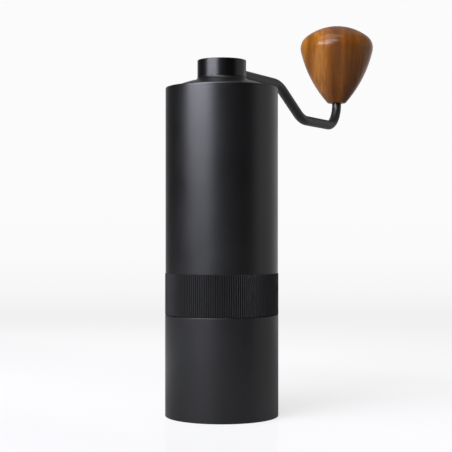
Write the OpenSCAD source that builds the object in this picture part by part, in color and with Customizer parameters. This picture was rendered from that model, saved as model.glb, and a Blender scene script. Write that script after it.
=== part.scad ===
// Hand crank coffee grinder.
// Frame: Z is the grinding axis and points up, the origin is the middle of the catch
// cup's underside, and the crank arm points along +X.  All sizes are in millimetres.

/* [Body] */
// Outside diameter of the tube
body_d = 53; // [50:0.5:58]
// Length of the body tube above the grip ring
tube_l = 87.3; // [78:0.1:110]
// Wall of the body tube
tube_wall = 2.5; // [2.3:0.1:3]
// Depth of the mouth, from the rim to the shoulder that the upper bracket meets
mouth_depth = 12.5; // [11.5:0.5:16]
// How far the mouth stands in from the tube's bore
mouth_step = 1; // [0.8:0.1:1.2]
// How far the ledge that the lid rests on stands in from the mouth
ledge_w = 1; // [0.8:0.1:1.5]
// Chamfer on the outside edges of the turned parts
edge = 0.6; // [0.3:0.1:1]

/* [Catch cup] */
// Height of the cup, up to the seam under the grip ring
cup_h = 47.9; // [44:0.1:70]
// Thickness of the cup's floor
cup_floor = 3; // [2:0.5:5]
// Radius of the corner inside the cup's floor
cup_fillet = 3; // [1:0.5:6]
// Wall of the cup below its socket
cup_wall = 3.1; // [2.8:0.1:4]
// Gap at the seam between the cup and the grip ring
seam_gap = 0.15; // [0.1:0.05:0.4]
// How far the frame's spigot reaches down into the cup
spigot_l = 9.9; // [8:0.1:12]

/* [Grip ring] */
// Height of the knurled band
grip_h = 19.3; // [17:0.1:24]
// How far the knurl's crests and the catch cup stand out from the tube
grip_proud = 0.2; // [0:0.05:0.5]
// Depth of the knurl's grooves
knurl_depth = 0.4; // [0.2:0.05:0.6]
// Number of ribs round the band
knurl_count = 160; // [90:10:180]

/* [Burrs] */
// Largest diameter of the inner burr
burr_d = 37; // [34:0.5:37.5]
// Height of both burrs
burr_h = 20; // [18:0.5:21]
// Small end of the inner burr, as a diameter
burr_tip_d = 18; // [17:0.5:20]
// Height of the fine teeth on the inner burr
fine_h = 9; // [7:0.5:11]
// Number of fine teeth on the inner burr
fine_teeth = 40; // [30:2:48]
// Depth of the fine teeth
fine_depth = 0.8; // [0.5:0.1:1]
// Number of spiral flutes that crack the beans
flutes = 6; // [5:1:8]
// Depth of the spiral flutes
flute_depth = 2.2; // [1.5:0.1:2.4]
// Gap between the burrs at the finest setting
burr_gap = 0.32; // [0.3:0.02:0.5]
// Thickness of the lock ring under the outer burr
lock_h = 3; // [2.5:0.5:4]
// Width of the lock ring, from its bore to its rim
lock_w = 2; // [1.5:0.1:2.4]

/* [Adjustment] */
// Pitch of the fine thread under the dial
dial_pitch = 0.75; // [0.5:0.25:1]
// Turns of the dial from the coarsest setting to the finest
dial_turns = 2.5; // [1:0.5:3]
// Diameter of the dial
dial_d = 30; // [26:1:34]
// Wall of the carrier's sleeve
carrier_wall = 2.4; // [2:0.1:3]
// Radius of the carrier's flange
carrier_flange_r = 12; // [11.5:0.5:14]
// Thickness of the dial
dial_h = 5.8; // [5.5:0.1:6.5]
// Clicks in one turn of the dial
clicks = 12; // [8:1:16]

/* [Drive] */
// Diameter of the shaft
shaft_d = 8; // [7.6:0.1:8.4]
// Across the two flats that turn the inner burr
flats_w = 6.6; // [6:0.1:7]
// Across the flats of the hexagon at the shaft's top
hex_af = 6.8; // [6:0.1:6.9]
// Outside diameter of the bearings
bearing_d = 16; // [15.6:0.1:16.6]
// Width of the bearings
bearing_w = 5; // [4.6:0.1:5.4]
// Diameter of the bearing balls
ball_d = 1.9; // [1.7:0.1:2]
// Balls in each bearing
ball_count = 9; // [7:1:10]
// Width of the bracket arms
bracket_arm_w = 4; // [3:0.5:6]
// Number of bracket arms
bracket_arms = 3; // [3:1:4]
// Wire of the burr spring
spring_wire = 1; // [0.8:0.1:1.2]
// Coils in the burr spring
spring_coils = 5; // [4:1:6]

/* [Lid] */
// Height of the lid's flat top above the rim
lid_rise = 4.4; // [3:0.2:6]
// Depth of the lid's plug below the rim
plug_l = 5; // [4.6:0.2:5.6]
// Wall of the lid
lid_wall = 2; // [1.6:0.2:2.4]
// Height of the lid's edge above the rim
lid_lip = 0.3; // [0.1:0.1:0.6]

/* [Crank] */
// Diameter of the hub
hub_d = 23; // [21:0.5:26]
// Height of the hub
hub_h = 8; // [7.5:0.5:10]
// Gap between the hub and the lid's flat top
hub_gap = 0.6; // [0.5:0.1:1]
// Diameter of the arm's round bar
arm_d = 5.2; // [4.5:0.1:5.4]
// Height of the arm's middle line above the hub's underside
arm_seat = 3.4; // [3.4:0.1:4]
// Distance from the grinding axis to the knob's axis
crank_r = 145; // [125:1:170]
// Where the arm starts to drop, from the grinding axis
drop_from = 64; // [50:1:72]
// Length over which the arm drops
drop_run = 30.5; // [26:0.5:40]
// How far the arm drops
drop = 16; // [10:0.1:18]
// Bend radius of the two bends of the drop
bend_r = 26; // [15:1:35]
// Bend radius under the knob
corner_r = 12; // [6:0.5:12]

/* [Knob] */
// Largest diameter of the knob
knob_d = 41.7; // [38:0.1:46]
// Height of the knob
knob_h = 44.8; // [40:0.1:52]
// Height of the crown, from the widest place to the top
crown_h = 12.9; // [11:0.1:15]
// Radius of the knob's shoulder
shoulder_r = 8.1; // [6:0.1:9.5]
// Radius of the knob's long side
side_r = 67.5; // [60:0.5:90]
// Rise of the knob above the middle line of the arm's low stretch
knob_stub = 13.4; // [12.5:0.1:16]
// Bore of the knob
knob_bore_d = 6.6; // [6.4:0.1:7]

/* [Hidden] */
$fn = 96;
eps = 0.01;

// Rings, flanges and other small sections
seal_wire = 1.2;     // rubber rings
seal_proud = 0.2;    // how far they stand out of their grooves
flange_w = 1.2;      // the frame's flange under the grip ring
flange_h = 1.5;
burr_seat_w = 1.65;  // the frame's wall round the ring burr
burr_stop_w = 1.2;   // the shoulder that the ring burr stops against
throat_step = 1.2;   // how far the ring burr's throat stands in from that shoulder
fine_taper = 2.6;    // how much the fine zone narrows from its foot to its top
flats_past = 4;      // the shaft's flats, past the carrier at its highest
spring_pocket = 3;   // in the inner burr's top, round the spring's foot
spring_play = 0.8;   // between the shaft and the inside of the burr spring
clip_h = 0.8;        // retaining rings
clip_groove = 0.5;
clip_lip = 0.2;      // of the bracket, above the clip that holds the bearing
bearing_wall = 1.8;  // of the bracket's boss, round the bearing

// Clearances
seat_gap = 0.02;   // between pieces that are pressed or glued together
run_gap = 0.05;    // between a shaft and its plain bearing
free_gap = 0.3;    // between pieces of different bodies that must not touch
slide_gap = 0.1;   // round a hexagon or a flat that slides
cut = 1;           // how far a cut runs past the face that it opens

// Heights on the grinding axis
z_seam = cup_h;
z_grip = z_seam + grip_h;
z_rim = z_grip + tube_l;
z_shoulder = z_rim - mouth_depth;
z_spigot = z_seam - spigot_l;
spigot_gap = 0.5;
z_cup_seal = z_seam - spigot_l / 2;
bracket_h = bearing_w + clip_h + clip_lip;
frame_reach = 6.8;
z_low_bracket = z_grip + frame_reach;
z_top_bracket = z_shoulder - bracket_h;

// Radii of the body
body_r = body_d / 2;
bore_r = body_r - tube_wall;
mouth_r = bore_r - mouth_step;
ledge_r = mouth_r - ledge_w;
frame_r = bore_r - run_gap;
socket_r = frame_r + free_gap;
grip_r = body_r + grip_proud;
flange_r = frame_r + flange_w;

// Burr stack, with the inner burr at its coarsest setting
lock_inset = 3;
burr_low = 1;
z_lock = z_spigot + lock_inset;
z_burr = z_lock + lock_h;
z_inner = z_burr - burr_low;
travel = dial_pitch * dial_turns;
burr_seat_r = frame_r - burr_seat_w;
throat_r = burr_seat_r - burr_stop_w;
burr_throat_r = throat_r - throat_step;
waist_r = burr_d / 2 - fine_taper;
fine_slope = (burr_d / 2 - waist_r) / fine_h;
outer_fine_gap = burr_gap + travel * fine_slope;
fine_twist = 10;
flute_twist = 70;

// Burr carrier, spring and dial
carrier_r = shaft_d / 2 + carrier_wall;
carrier_flange_h = 2;
carrier_l = burr_h - spring_pocket;
z_carrier_top = z_inner + carrier_l;
dial_gap = 0.2;
z_dial = z_inner - carrier_flange_h - dial_gap - dial_h;
detent_r = 9.5;
detent_ball_d = 2;
detent_proud = 0.45;
detent_hole_l = 4;
z_detent_ball = z_dial + dial_h + detent_proud - detent_ball_d / 2;
z_low_clip = z_low_bracket - clip_h;
z_spring_seat = z_low_clip - clip_h;
spring_r = (shaft_d + spring_wire) / 2 + spring_play;

// Shaft
shaft_r = shaft_d / 2;
shaft_tail = 1.5;
z_shaft = z_dial - shaft_tail;
z_flats = z_carrier_top + travel + flats_past;
z_top_clip = z_top_bracket + bearing_w;
z_hex = z_top_clip + clip_h + 0.4;
z_hex_top = z_rim + 1;

// Bearings
bearing_r = bearing_d / 2;
ball_r = ball_d / 2;
race_in = shaft_r + seat_gap;
ball_ring_r = (bearing_r + shaft_r) / 2 + 0.05;
race_land = 0.55;
race_wall_in = ball_ring_r - race_land;
race_wall_out = ball_ring_r + race_land;
cage_wall = 0.5;
bearing_lip = 1.2;
bearing_lip_w = 1.5;
bearing_boss_r = bearing_r + bearing_wall;
shield_h = 0.3;

// Hub and lid
z_land = z_rim + lid_rise;
z_hub = z_land + hub_gap;
z_arm = z_hub + arm_seat;
hub_r = hub_d / 2;
boss_r = 6.5;
boss_drop = 7;
z_boss = z_rim - boss_drop;
socket_sleeve_r = 5;
lid_r = mouth_r - free_gap;
land_r = hub_r + 0.3;
bush_wall = 1.4;
bush_r = boss_r + run_gap + bush_wall;
bush_flange = 0.8;
bush_boss_w = 2;
skirt_w = lid_wall + 0.8;
z_plug = z_rim - plug_l;
z_bush = z_plug + 0.2;
z_ledge = z_plug - run_gap;
lid_clip_h = 0.9;
lid_clip_groove = 0.7;
lid_clip_w = 1.6;
z_lid_clip = z_bush - free_gap - lid_clip_h;
pin_d = 2;
pin_x = 8.3;
pin_cover = 1.2;
socket_headroom = 0.9;
z_socket_top = z_hex_top + socket_headroom;
washer_w = 3.3;

// Arm and knob
arm_r = arm_d / 2;
z_arm_low = z_arm - drop;
z_knob = z_arm_low + knob_stub;
arm_root_x = 3.2;
bush_l = 11;
knob_clip_at = bush_l + free_gap;
upper_bush_at = knob_clip_at + clip_h + free_gap;
spindle_past = 1;
spindle_l = upper_bush_at + bush_l + spindle_past;
knob_clip_r = knob_bore_d / 2 - free_gap;
knob_r = knob_d / 2;
knob_bore_r = knob_bore_d / 2;
foot_r = 1.6;
foot_rim = 0.45;
foot_x = knob_bore_r + foot_rim;

// ---- Shared shapes ----

// Points of an arc, from angle a0 to a1
function arc(c, r, a0, a1, n) =
    [for (i = [0:n]) let (a = a0 + (a1 - a0) * i / n) [c[0] + r * cos(a), c[1] + r * sin(a)]];

// Round tube between two heights
module tube(r_out, r_in, z0, z1) {
    difference() {
        translate([0, 0, z0]) cylinder(r = r_out, h = z1 - z0);
        translate([0, 0, z0 - cut]) cylinder(r = r_in, h = z1 - z0 + 2 * cut);
    }
}

// Open retaining ring with a gap on its +X side
module clip(r_in, r_out, z0, h, gap) {
    difference() {
        tube(r_out, r_in, z0, z0 + h);
        translate([0, -gap / 2, z0 - cut]) cube([r_out + cut, gap, h + 2 * cut]);
    }
}

// Rubber ring of round section
module o_ring(r, wire, z) {
    translate([0, 0, z]) rotate_extrude() translate([r, 0]) circle(d = wire, $fn = 32);
}

// Groove round an outside wall
module groove(r_wall, depth, z0, h) {
    tube(r_wall + cut, r_wall - depth, z0, z0 + h);
}

// Bar with two flats, as on the lower half of the shaft
module double_d(r, w, z0, z1) {
    intersection() {
        translate([0, 0, z0]) cylinder(r = r, h = z1 - z0);
        translate([-w / 2, -r - cut, z0]) cube([w, 2 * (r + cut), z1 - z0]);
    }
}

// Coil spring swept from a ring of points, closed at both ends
module coil_spring(r, wire, z0, z1, coils, steps, sides) {
    rings = coils * steps;
    rise = (z1 - z0 - wire) / rings;
    points = [
        for (i = [0:rings], k = [0:sides - 1])
            let (turn = 360 * i / steps, side = 360 * k / sides, out = r + wire / 2 * cos(side))
                [out * cos(turn), out * sin(turn), z0 + wire / 2 + i * rise + wire / 2 * sin(side)]
    ];
    walls = [
        for (i = [0:rings - 1], k = [0:sides - 1])
            let (a = i * sides + k, b = i * sides + (k + 1) % sides)
                [a, a + sides, b + sides, b]
    ];
    first = [[for (k = [0:sides - 1]) k]];
    last = [[for (k = [sides - 1:-1:0]) rings * sides + k]];
    polyhedron(points, concat(walls, first, last), convexity = 8);
}

// ---- Catch cup ----

module catch_cup() {
    z_top = z_seam - seam_gap;
    z_socket = z_spigot - spigot_gap;
    inner_r = grip_r - cup_wall;
    color("#2b2b2e") rotate_extrude() polygon(concat(
        [[0, 0], [grip_r - edge, 0], [grip_r, edge], [grip_r, z_top - edge / 2]],
        [[grip_r - edge / 2, z_top], [socket_r, z_top], [socket_r, z_socket]],
        [[inner_r, z_socket]],
        arc([inner_r - cup_fillet, cup_floor + cup_fillet], cup_fillet, 0, -90, 8),
        [[0, cup_floor]]
    ));
}

// Rubber ring on the spigot that grips the cup
module cup_seal() {
    color("#1a1a1a") o_ring(frame_r + seal_proud - seal_wire / 2, seal_wire, z_cup_seal);
}

// ---- Body ----

module body_tube() {
    color("#2b2b2e") rotate_extrude() polygon([
        [bore_r, z_grip], [body_r - edge / 2, z_grip], [body_r, z_grip + edge / 2],
        [body_r, z_rim - edge], [body_r - edge, z_rim], [mouth_r + edge / 2, z_rim],
        [mouth_r, z_rim - edge / 2], [mouth_r, z_ledge], [ledge_r, z_ledge],
        [ledge_r, z_shoulder], [bore_r, z_shoulder]
    ]);
}

// Knurled outline: each rib has a flat crest and a V groove beside it
function knurl_outline(r, depth, count) = [
    for (i = [0:count - 1], k = [0:2])
        let (a = 360 / count * (i + [0, 0.5, 0.75][k]), rr = r - (k == 2 ? depth : 0))
            [rr * cos(a), rr * sin(a)]
];

module grip_ring() {
    color("#1f1f21") difference() {
        translate([0, 0, z_seam]) linear_extrude(grip_h)
            polygon(knurl_outline(grip_r, knurl_depth, knurl_count));
        translate([0, 0, z_seam - cut]) cylinder(r = frame_r + seat_gap, h = grip_h + 2 * cut);
        translate([0, 0, z_seam - cut]) cylinder(r = flange_r + seat_gap, h = cut + flange_h + seat_gap);
    }
}

// Machined frame that carries the outer burr, the grip ring and the cup
module burr_frame() {
    color("#8d9196") difference() {
        union() {
            translate([0, 0, z_spigot]) cylinder(r = frame_r, h = z_low_bracket - z_spigot);
            translate([0, 0, z_seam]) cylinder(r = flange_r, h = flange_h);
        }
        translate([0, 0, z_spigot - cut])
            cylinder(r = burr_seat_r, h = cut + z_burr + burr_h - z_spigot);
        translate([0, 0, z_spigot]) cylinder(r = throat_r, h = z_low_bracket);
        groove(frame_r, seal_wire - seal_proud, z_cup_seal - seal_wire / 2, seal_wire);
    }
}

// ---- Burrs ----

// Saw teeth round a circle, from the crest radius in to the root
function saw_outline(r, depth, count) = [
    for (i = [0:count - 1], k = [0:1])
        let (a = 360 / count * (i + 0.3 * k), rr = r - k * depth) [rr * cos(a), rr * sin(a)]
];

// Broad spiral flutes: a crest, a steep wall and a long run out to the next crest
function flute_outline(r, depth, count) = [
    for (i = [0:count - 1], k = [0:5])
        let (a = 360 / count * (i + k / 6), rr = r - depth * [0, 0.85, 1, 0.8, 0.5, 0.2][k])
            [rr * cos(a), rr * sin(a)]
];

// Fine lower zone of a burr: a tapered and twisted outline, moved outwards by grow
module fine_zone(grow) {
    r0 = burr_d / 2 + grow;
    linear_extrude(fine_h, scale = (waist_r + grow) / r0, twist = fine_twist, slices = 6)
        polygon(saw_outline(r0, fine_depth, fine_teeth));
}

// Fluted upper zone, from radius r0 at the waist to radius r1 at the top
module flute_zone(r0, r1, twist) {
    translate([0, 0, fine_h - eps]) linear_extrude(burr_h - fine_h + eps, scale = r1 / r0,
            twist = twist, slices = 12)
        polygon(flute_outline(r0, flute_depth, flutes));
}

module inner_burr() {
    color("#a9abae") translate([0, 0, z_inner]) difference() {
        union() {
            fine_zone(0);
            flute_zone(waist_r, burr_tip_d / 2, flute_twist);
        }
        translate([0, 0, -cut]) cylinder(r = carrier_r + seat_gap, h = burr_h + 2 * cut);
    }
}

// Ring burr: its teeth close on the inner burr's at the bottom and open upwards
module outer_burr() {
    color("#a9abae") difference() {
        translate([0, 0, z_burr]) cylinder(r = burr_seat_r - seat_gap, h = burr_h);
        translate([0, 0, z_inner]) fine_zone(outer_fine_gap + fine_depth);
        translate([0, 0, z_inner])
            flute_zone(waist_r + outer_fine_gap + flute_depth, burr_throat_r, -flute_twist / 2);
        translate([0, 0, z_inner + burr_h - eps]) cylinder(r = burr_throat_r, h = burr_low + cut);
    }
}

// Threaded ring, with three spanner slots, that holds the outer burr in the frame
module burr_lock_ring() {
    slot_w = 3;
    slot_depth = 1;
    lock_r = burr_seat_r - seat_gap;
    color("#75787c") difference() {
        tube(lock_r, lock_r - lock_w, z_lock, z_burr);
        for (a = [0:120:240]) rotate(a)
            translate([lock_r - lock_w - cut, -slot_w / 2, z_lock - cut])
                cube([lock_w + 2 * cut, slot_w, cut + slot_depth]);
    }
}

// ---- Brackets, liner and bearings ----

// Spider with a bearing seat in its middle, open at the top for the bearing
module bracket(z) {
    arm_inset = 0.5;
    color("#8d9196") translate([0, 0, z]) difference() {
        union() {
            tube(frame_r, ledge_r, 0, bracket_h);
            translate([0, 0, -bearing_lip]) cylinder(r = bearing_boss_r, h = bracket_h + bearing_lip);
            for (i = [0:bracket_arms - 1]) rotate(60 + 360 / bracket_arms * i)
                translate([bearing_r + cut, -bracket_arm_w / 2, arm_inset])
                    cube([ledge_r - bearing_r - cut / 2, bracket_arm_w, bracket_h - 2 * arm_inset]);
        }
        cylinder(r = bearing_r + seat_gap, h = bracket_h + cut);
        translate([0, 0, bearing_w]) cylinder(r = bearing_r + clip_groove, h = clip_h - 0.1);
        translate([0, 0, -bearing_lip - cut])
            cylinder(r = bearing_r - bearing_lip_w, h = bearing_lip + 2 * cut);
    }
}

module hopper_liner() {
    color("#9b9ea2") tube(frame_r, ledge_r, z_low_bracket + bracket_h, z_top_bracket);
}

// The ball groove of both races
module ball_track(z) {
    translate([0, 0, z + bearing_w / 2]) rotate_extrude()
        translate([ball_ring_r, 0]) circle(r = ball_r + run_gap, $fn = 32);
}

module outer_race(z) {
    color("#b9bcc0") difference() {
        tube(bearing_r, race_wall_out, z, z + bearing_w);
        ball_track(z);
    }
}

module inner_race(z) {
    color("#b9bcc0") difference() {
        tube(race_wall_in, race_in, z, z + bearing_w);
        ball_track(z);
    }
}

module shields(z) {
    color("#c9cbce") for (at = [z, z + bearing_w - shield_h])
        tube(race_wall_out - seat_gap, race_wall_in + 0.2, at, at + shield_h);
}

module balls(z) {
    color("#d6d8da") for (i = [0:ball_count - 1]) rotate(360 / ball_count * i)
        translate([ball_ring_r, 0, z + bearing_w / 2]) sphere(r = ball_r, $fn = 32);
}

// Crown cage: a ring under the balls with fingers between them
module cage(z) {
    color("#8a6a3a") translate([0, 0, z + bearing_w / 2]) difference() {
        tube(ball_ring_r + cage_wall / 2, ball_ring_r - cage_wall / 2, -ball_r - 0.6, 0.5);
        for (i = [0:ball_count - 1]) rotate(360 / ball_count * i)
            translate([ball_ring_r, 0, 0]) sphere(r = ball_r + run_gap, $fn = 32);
    }
}

module bearing_circlips() {
    circlip_w = 0.7;
    circlip_gap = 3;
    color("#55585c") for (z = [z_low_bracket, z_top_bracket])
        clip(bearing_r - circlip_w, bearing_r + clip_groove - slide_gap, z + bearing_w,
            clip_h - 2 * slide_gap, circlip_gap);
}

// ---- Shaft ----

module drive_shaft() {
    color("#b4b7bb") difference() {
        union() {
            double_d(shaft_r, flats_w, z_shaft, z_flats);
            translate([0, 0, z_flats]) cylinder(r = shaft_r, h = z_hex - z_flats);
            translate([0, 0, z_hex]) cylinder(d = hex_af / cos(30), h = z_hex_top - z_hex, $fn = 6);
        }
        for (z = [z_low_clip, z_top_clip]) groove(shaft_r, clip_groove, z, clip_h);
    }
}

module shaft_clips() {
    color("#55585c") for (z = [z_low_clip, z_top_clip])
        clip(shaft_r - clip_groove + seat_gap, race_wall_in - seat_gap, z + seat_gap,
            clip_h - 2 * seat_gap, 2.4);
}

module spring_seat() {
    color("#c9cbce") tube(spring_r + 0.7 * spring_wire, shaft_r + run_gap, z_spring_seat, z_low_clip);
}

module burr_spring() {
    color("#a8abb0") coil_spring(
        spring_r, spring_wire, z_carrier_top + seat_gap, z_spring_seat - seat_gap,
        spring_coils, 20, 8);
}

// ---- Inner burr's carrier and the dial ----

// Sleeve that slides on the shaft's flats and drives the inner burr
module burr_carrier() {
    color("#7d8085") difference() {
        union() {
            translate([0, 0, z_inner]) cylinder(r = carrier_r, h = carrier_l);
            translate([0, 0, z_inner - carrier_flange_h])
                cylinder(r = carrier_flange_r, h = carrier_flange_h);
        }
        double_d(shaft_r + run_gap, flats_w + 2 * run_gap,
            z_inner - carrier_flange_h - cut, z_carrier_top + cut);
        translate([0, 0, z_detent_ball]) rotate_extrude()
            translate([detent_r, 0]) circle(d = detent_ball_d + 5 * slide_gap, $fn = 32);
        for (i = [0:clicks - 1]) rotate(360 / clicks * i)
            translate([detent_r, 0, z_inner - carrier_flange_h - cut])
                cylinder(d = detent_ball_d * 0.7, h = 2 * cut, $fn = 24);
    }
}

// Finger nut on the shaft's fine thread, with a scalloped edge
module adjust_dial() {
    scallops = 24;
    scallop_r = 1.1;
    color("#2f3033") difference() {
        translate([0, 0, z_dial]) cylinder(d = dial_d, h = dial_h);
        translate([0, 0, z_dial - cut]) cylinder(r = shaft_r + run_gap, h = dial_h + 2 * cut);
        for (i = [0:scallops - 1]) rotate(360 / scallops * (i + 0.5))
            translate([dial_d / 2 + scallop_r / 2, 0, z_dial - cut])
                cylinder(r = scallop_r, h = dial_h + 2 * cut, $fn = 24);
        for (a = [0, 180]) rotate(a)
            translate([detent_r, 0, z_dial + dial_h - detent_hole_l])
                cylinder(d = detent_ball_d + 2 * run_gap, h = detent_hole_l + cut);
    }
}

module detent_balls() {
    color("#d6d8da") for (a = [0, 180]) rotate(a)
        translate([detent_r, 0, z_detent_ball]) sphere(d = detent_ball_d, $fn = 32);
}

module detent_springs() {
    color("#a8abb0") for (a = [0, 180]) rotate(a) translate([detent_r, 0, 0])
        coil_spring(0.7, 0.3, z_dial + dial_h - detent_hole_l + seat_gap,
            z_detent_ball - detent_ball_d / 2 + 0.05, 4, 12, 6);
}

// ---- Lid ----

// Radius of the sphere that the lid's crown is part of, through its land and its edge
function crown_radius(r0, r1, fall) =
    sqrt(r1 * r1 + pow((r1 * r1 - r0 * r0 - fall * fall) / (2 * fall), 2));

module lid() {
    crown_r = crown_radius(land_r, lid_r, lid_rise - lid_lip);
    crown_z = z_land - sqrt(crown_r * crown_r - land_r * land_r);
    crown_from = acos(land_r / crown_r);
    crown_to = acos(lid_r / crown_r);
    skirt_r = lid_r - skirt_w;
    core_r = bush_r + bush_boss_w;
    roof_z = z_land - lid_wall;
    groove_z = z_rim - plug_l / 2;
    color("#232325") difference() {
        rotate_extrude() polygon(concat(
            [[bush_r + seat_gap, z_bush + bush_flange], [bush_r + seat_gap, z_land]],
            arc([0, crown_z], crown_r, crown_from, crown_to, 10),
            [[lid_r, z_plug], [skirt_r, z_plug], [skirt_r, z_rim - 0.5]],
            [[core_r, roof_z], [core_r, z_bush + bush_flange]]
        ));
        groove(lid_r, seal_wire - seal_proud, groove_z - seal_wire / 2, seal_wire);
    }
}

module lid_seal() {
    color("#1a1a1a") o_ring(lid_r + seal_proud - seal_wire / 2, seal_wire, z_rim - plug_l / 2);
}

// Plain bearing in the lid, flanged at the bottom, that the hub's boss turns in
module lid_bush() {
    color("#d9d6cc") difference() {
        union() {
            translate([0, 0, z_bush]) cylinder(r = bush_r + 1, h = bush_flange);
            translate([0, 0, z_bush]) cylinder(r = bush_r, h = z_land - z_bush);
        }
        translate([0, 0, z_plug]) cylinder(r = boss_r + run_gap, h = z_land - z_plug + cut);
    }
}

// ---- Crank ----

module crank_hub() {
    color("#232325") difference() {
        union() {
            rotate_extrude() polygon([
                [0, z_hub], [hub_r - edge, z_hub], [hub_r, z_hub + edge],
                [hub_r, z_hub + hub_h - edge], [hub_r - edge, z_hub + hub_h], [0, z_hub + hub_h]
            ]);
            translate([0, 0, z_boss]) cylinder(r = boss_r, h = z_hub - z_boss + edge);
        }
        translate([0, 0, z_boss - cut])
            cylinder(r = socket_sleeve_r + seat_gap, h = z_socket_top + cut - z_boss);
        groove(boss_r, lid_clip_groove, z_lid_clip, lid_clip_h);
        translate([arm_root_x - seat_gap, 0, z_arm]) rotate([0, 90, 0])
            cylinder(r = arm_r + seat_gap, h = hub_r);
        translate([pin_x, 0, z_hub - cut])
            cylinder(d = pin_d + 2 * seat_gap, h = cut + hub_h - pin_cover);
    }
}

// Steel sleeve in the boss with the hexagon that fits over the shaft
module drive_socket() {
    color("#b4b7bb") difference() {
        translate([0, 0, z_boss]) cylinder(r = socket_sleeve_r, h = z_socket_top - z_boss);
        translate([0, 0, z_boss - cut]) cylinder(
            d = (hex_af + 2 * slide_gap) / cos(30), h = z_socket_top - z_boss + 2 * cut, $fn = 6);
    }
}

module thrust_washer() {
    color("#d9d6cc") tube(boss_r + washer_w, boss_r + run_gap, z_land + run_gap, z_hub - seat_gap);
}

module lid_clip() {
    color("#55585c") clip(boss_r - lid_clip_groove + seat_gap, boss_r + lid_clip_w, z_lid_clip + seat_gap,
        lid_clip_h - 2 * seat_gap, 3);
}

// Middle line of the arm in its own plane, and the bend at each inner corner
arm_points = [
    [arm_root_x, z_arm], [drop_from, z_arm], [drop_from + drop_run, z_arm_low],
    [crank_r, z_arm_low], [crank_r, z_knob + spindle_l]
];
arm_bends = [0, bend_r, bend_r, corner_r, 0];

function heading(i) =
    let (d = arm_points[i + 1] - arm_points[i]) atan2(d[1], d[0]);
function bend_turn(i) = heading(i) - heading(i - 1);
// Length of straight that a bend takes off each side of its corner
function bend_cut(i) =
    (i == 0 || i == len(arm_points) - 1) ? 0 : arm_bends[i] * abs(tan(bend_turn(i) / 2));

// The straights run a hair into the bends, which are drawn a hair thinner, as a bent bar is
bend_lap = 0.2;
bend_thin = 0.02;
function lap(i) = bend_cut(i) > 0 ? bend_lap : 0;

module arm_straight(i) {
    from = bend_cut(i) - lap(i);
    length = norm(arm_points[i + 1] - arm_points[i]) - from - bend_cut(i + 1) + lap(i + 1);
    translate(arm_points[i]) rotate(heading(i)) translate([from, 0])
        rotate([0, 90, 0]) cylinder(r = arm_r, h = length);
}

module arm_bend(i) {
    turn = bend_turn(i);
    side = sign(turn);
    translate(arm_points[i]) rotate(heading(i - 1)) translate([-bend_cut(i), side * arm_bends[i]])
        rotate(side > 0 ? -90 : 90 - abs(turn))
            rotate_extrude(angle = abs(turn)) translate([arm_bends[i], 0])
                circle(r = arm_r - bend_thin, $fn = 48);
}

module crank_arm() {
    color("#1c1c1e") difference() {
        rotate([90, 0, 0]) union() {
            for (i = [0:len(arm_points) - 2]) arm_straight(i);
            for (i = [1:len(arm_points) - 2]) arm_bend(i);
        }
        translate([pin_x, 0, z_arm - arm_r - cut])
            cylinder(d = pin_d + 2 * seat_gap, h = arm_d + 2 * cut);
        translate([crank_r, 0, 0]) groove(arm_r, clip_groove, z_knob + knob_clip_at, clip_h);
    }
}

// Dowel that fixes the arm in the hub, driven in from below
module arm_pin() {
    color("#b4b7bb") translate([pin_x, 0, z_hub + slide_gap])
        cylinder(d = pin_d, h = hub_h - pin_cover - 2 * slide_gap);
}

// ---- Knob ----

// Middle of a circle of radius r that holds two smaller circles and touches both
function middle_of_side(a, ra, b, rb, r) =
    let (
        d = norm(b - a),
        u = (b - a) / d,
        along = (pow(r - ra, 2) - pow(r - rb, 2) + d * d) / (2 * d),
        off = sqrt(pow(r - ra, 2) - along * along)
    )
    a + along * u + off * [u[1], -u[0]];

// Half outline of the knob, from the middle of its crown to its foot, with depth below
// the top as the second value; each arc is tangent to the next
function knob_outline() =
    let (
        crown_r = (knob_r * knob_r - 2 * knob_r * shoulder_r + crown_h * crown_h)
            / (2 * (crown_h - shoulder_r)),
        shoulder = [knob_r - shoulder_r, -crown_h],
        foot = [foot_x, foot_r - knob_h],
        side = middle_of_side(shoulder, shoulder_r, foot, foot_r, side_r),
        crown_end = atan2(crown_r - crown_h, knob_r - shoulder_r),
        side_from = atan2(shoulder[1] - side[1], shoulder[0] - side[0]),
        side_to = atan2(foot[1] - side[1], foot[0] - side[0])
    )
    concat(
        arc([0, -crown_r], crown_r, 90, crown_end, 12),
        arc(shoulder, shoulder_r, crown_end, side_from, 10),
        arc(side, side_r, side_from, side_to, 12),
        arc(foot, foot_r, side_to, -90, 5),
        [[0, -knob_h]]
    );

module knob() {
    color("#8a5a2e") translate([crank_r, 0, z_knob]) difference() {
        translate([0, 0, knob_h]) rotate_extrude() polygon(knob_outline());
        translate([0, 0, -cut]) cylinder(r = knob_bore_r, h = spindle_l + 2 * cut);
    }
}

module knob_bush(at, length) {
    color("#3a3a3c") translate([crank_r, 0, z_knob + at])
        tube(knob_bore_r - seat_gap, arm_r + run_gap, 0, length);
}

module knob_clip() {
    color("#55585c") translate([crank_r, 0, z_knob + knob_clip_at])
        clip(arm_r - clip_groove + seat_gap, knob_clip_r, seat_gap, clip_h - 2 * seat_gap, 2);
}

// ---- Nodes ----

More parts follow.
